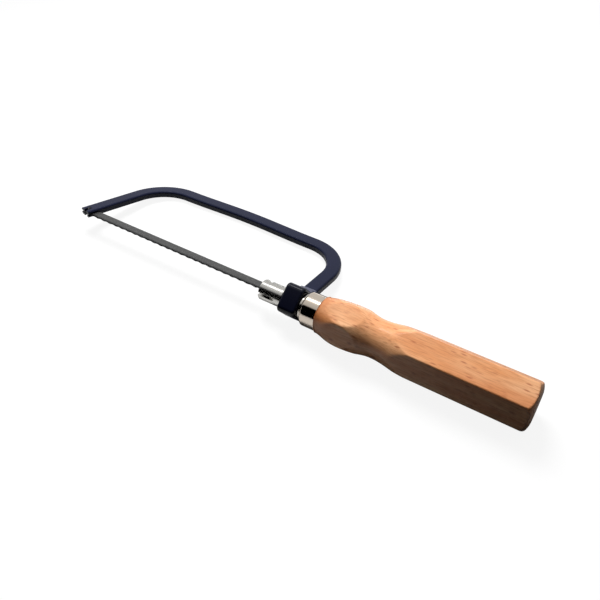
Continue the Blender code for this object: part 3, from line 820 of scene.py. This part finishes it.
white_table = bpy.data.materials.new("white_table")
white_table.use_nodes = True
tree = white_table.node_tree
tree.nodes.clear()
path = add_node(tree, "ShaderNodeLightPath")
paper = add_node(tree, "ShaderNodeBsdfDiffuse", {"Color": linear("#f6f6f6")})
glow = add_node(tree, "ShaderNodeEmission", {"Color": linear("#ffffff"), "Strength": 1.04})
white = add_node(tree, "ShaderNodeMixShader", {
    "Fac": 0.86, 1: paper.outputs["BSDF"], 2: glow.outputs["Emission"],
})
along_saw = add_node(tree, "ShaderNodeSeparateXYZ", {
    "Vector": add_node(tree, "ShaderNodeTexCoord").outputs["Object"],
})
# Painted shade: the greys that bounce and mirror rays see fall darker from the tip to the butt, so the wood's
# butt end comes out darker.
painted_shade_to_butt = add_node(tree, "ShaderNodeMapRange", {
    "Value": along_saw.outputs["X"], "From Min": butt_shade_from, "From Max": butt_shade_to,
})
mirrored_grey = add_node(tree, "ShaderNodeMix", {
    0: painted_shade_to_butt.outputs["Result"], 6: linear("#c8c8c8"), 7: linear("#787878"),
}, data_type="RGBA")
dull_grey = add_node(tree, "ShaderNodeMix", {
    0: painted_shade_to_butt.outputs["Result"], 6: linear("#6e6e6e"), 7: linear("#101010"),
}, data_type="RGBA")
mirrored = add_node(tree, "ShaderNodeBsdfDiffuse", {"Color": mirrored_grey.outputs[2]})
dull = add_node(tree, "ShaderNodeBsdfDiffuse", {"Color": dull_grey.outputs[2]})
mirror_side = add_node(tree, "ShaderNodeMath", {
    0: path.outputs["Is Glossy Ray"], 1: path.outputs["Is Transmission Ray"],
}, operation="MAXIMUM")
unseen = add_node(tree, "ShaderNodeMixShader", {
    "Fac": mirror_side.outputs["Value"], 1: dull.outputs["BSDF"], 2: mirrored.outputs["BSDF"],
})
surface = add_node(tree, "ShaderNodeMixShader", {
    "Fac": path.outputs["Is Camera Ray"], 1: unseen.outputs["Shader"], 2: white.outputs["Shader"],
})
side = add_node(tree, "ShaderNodeNewGeometry")
clear = add_node(tree, "ShaderNodeBsdfTransparent")
one_sided = add_node(tree, "ShaderNodeMixShader", {
    "Fac": side.outputs["Backfacing"], 1: surface.outputs["Shader"], 2: clear.outputs["BSDF"],
})
add_node(tree, "ShaderNodeOutputMaterial", {"Surface": one_sided.outputs["Shader"]})

shape = bmesh.new()
bmesh.ops.create_grid(shape, x_segments=1, y_segments=1, size=table_size / 2)
lie = Matrix.Translation(rest_edge + Vector((table_middle, 0, 0))) @ Matrix.Rotation(table_slope, 4, "X")
bmesh.ops.transform(shape, matrix=lie, verts=shape.verts)
table = bpy.data.objects.new("table", bpy.data.meshes.new("table"))
shape.to_mesh(table.data)
shape.free()
table.data.materials.append(white_table)
bpy.context.scene.collection.objects.link(table)
table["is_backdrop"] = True

# One broad soft lamp stands high over the saw's tip. A pale backdrop curves up behind and over the saw,
# and the room on the near side is dark, so the near sides of the wood and the metal stay dark. The lamp's
# face, with its bright core, stands in the backdrop where metal mirrors it.
lamp_size = 0.36
lamp_distance = 0.62
lamp_level = 4.7
to_lamp = Vector((-0.34, 0.3, 0.87)).normalized()
mirrored_lamp = Vector((-0.39, 0.15, 0.91)).normalized()
to_fill = Vector((-0.4, 0.86, 0.31)).normalized()
dome_lean = radians(51)
lamp = bpy.data.objects.new("soft_lamp", bpy.data.lights.new("soft_lamp", "AREA"))
lamp.data.shape = "DISK"
lamp.data.size = lamp_size
lamp.data.energy = lamp_level * pi * lamp_distance ** 2
lamp.visible_glossy = False
lamp.rotation_mode = "QUATERNION"
lamp.rotation_quaternion = to_lamp.to_track_quat("Z", "Y")
lamp.location = boss_low + to_lamp * lamp_distance
bpy.context.scene.collection.objects.link(lamp)

room = bpy.data.worlds.new("pale_backdrop_dark_room")
bpy.context.scene.world = room
room.use_nodes = True
tree = room.node_tree
tree.nodes.clear()
direction = add_node(tree, "ShaderNodeTexCoord").outputs["Generated"]
overhead = add_node(tree, "ShaderNodeVectorMath", {
    0: direction, 1: (0, sin(dome_lean), cos(dome_lean)),
}, operation="DOT_PRODUCT")
dome_edge = add_node(tree, "ShaderNodeMapRange", {
    "Value": overhead.outputs["Value"], "From Min": -0.05, "From Max": 0.07,
}, interpolation_type="SMOOTHSTEP")
dome_rise = add_node(tree, "ShaderNodeMapRange", {
    "Value": overhead.outputs["Value"], "From Min": 0.0, "From Max": 0.45, "To Min": 0.46,
    "To Max": 0.68,
})
along_saw = add_node(tree, "ShaderNodeSeparateXYZ", {"Vector": direction})
dome_end = add_node(tree, "ShaderNodeMapRange", {
    "Value": along_saw.outputs["X"], "From Min": 0.1, "From Max": 0.7, "To Min": 1.0, "To Max": 0.3,
})
dome = add_node(tree, "ShaderNodeMath", {
    0: dome_edge.outputs["Result"], 1: dome_rise.outputs["Result"],
}, operation="MULTIPLY")
dome = add_node(tree, "ShaderNodeMath", {
    0: dome.outputs["Value"], 1: dome_end.outputs["Result"],
}, operation="MULTIPLY")
behind = add_node(tree, "ShaderNodeVectorMath", {
    0: direction, 1: to_fill,
}, operation="DOT_PRODUCT")
fill = add_node(tree, "ShaderNodeMapRange", {
    "Value": behind.outputs["Value"], "From Min": -0.05, "From Max": 0.15, "To Min": 0.01,
    "To Max": 0.34,
}, interpolation_type="SMOOTHSTEP")
toward_lamp = add_node(tree, "ShaderNodeVectorMath", {
    0: direction, 1: mirrored_lamp,
}, operation="DOT_PRODUCT")
lamp_face = add_node(tree, "ShaderNodeMapRange", {
    "Value": toward_lamp.outputs["Value"], "From Min": cos(radians(16)),
    "From Max": cos(radians(9)), "To Max": 0.55,
}, interpolation_type="SMOOTHSTEP")
lamp_core = add_node(tree, "ShaderNodeMapRange", {
    "Value": toward_lamp.outputs["Value"], "From Min": cos(radians(6)), "From Max": cos(radians(4)),
    "To Max": 5.5,
}, interpolation_type="SMOOTHSTEP")
lamp_glare = add_node(tree, "ShaderNodeMath", {
    0: lamp_face.outputs["Result"], 1: lamp_core.outputs["Result"],
}, operation="ADD")
mirrored = add_node(tree, "ShaderNodeMath", {
    0: dome.outputs["Value"], 1: lamp_glare.outputs["Value"],
}, operation="ADD")
path = add_node(tree, "ShaderNodeLightPath")
mirror_side = add_node(tree, "ShaderNodeMath", {
    0: path.outputs["Is Glossy Ray"], 1: path.outputs["Is Transmission Ray"],
}, operation="MAXIMUM")
unseen = add_node(tree, "ShaderNodeMix", {
    0: mirror_side.outputs["Value"], 2: fill.outputs["Result"], 3: mirrored.outputs["Value"],
})
strength = add_node(tree, "ShaderNodeMix", {
    0: path.outputs["Is Camera Ray"], 2: unseen.outputs[0], 3: 1.0,
})
backdrop = add_node(tree, "ShaderNodeBackground", {
    "Color": linear("#ffffff"), "Strength": strength.outputs[0],
})
add_node(tree, "ShaderNodeOutputWorld", {"Surface": backdrop.outputs["Background"]})

# The camera stands above the butt and looks along the saw to its tip, at the photograph's angle.
# Its place and turn were fitted to the saw's outline.
camera_place = Vector((0.004931, -0.225106, 0.194834))
camera = bpy.data.objects.new("camera", bpy.data.cameras.new("camera"))
camera.data.lens = 36
camera.data.sensor_width = 36
camera.data.clip_start = 0.01
to_right = Vector((0.83585646, 0.54610619, 0.05578543))
upwards = Vector((-0.36093744, 0.47016947, 0.80539731))
backwards = Vector((0.41360385, -0.69333159, 0.59010436))
turned = Matrix((to_right, upwards, backwards)).transposed().to_4x4()
camera.matrix_world = Matrix.Translation(camera_place) @ turned
bpy.context.scene.collection.objects.link(camera)
bpy.context.scene.camera = camera
bpy.context.scene.view_settings.view_transform = "Standard"

low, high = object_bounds()
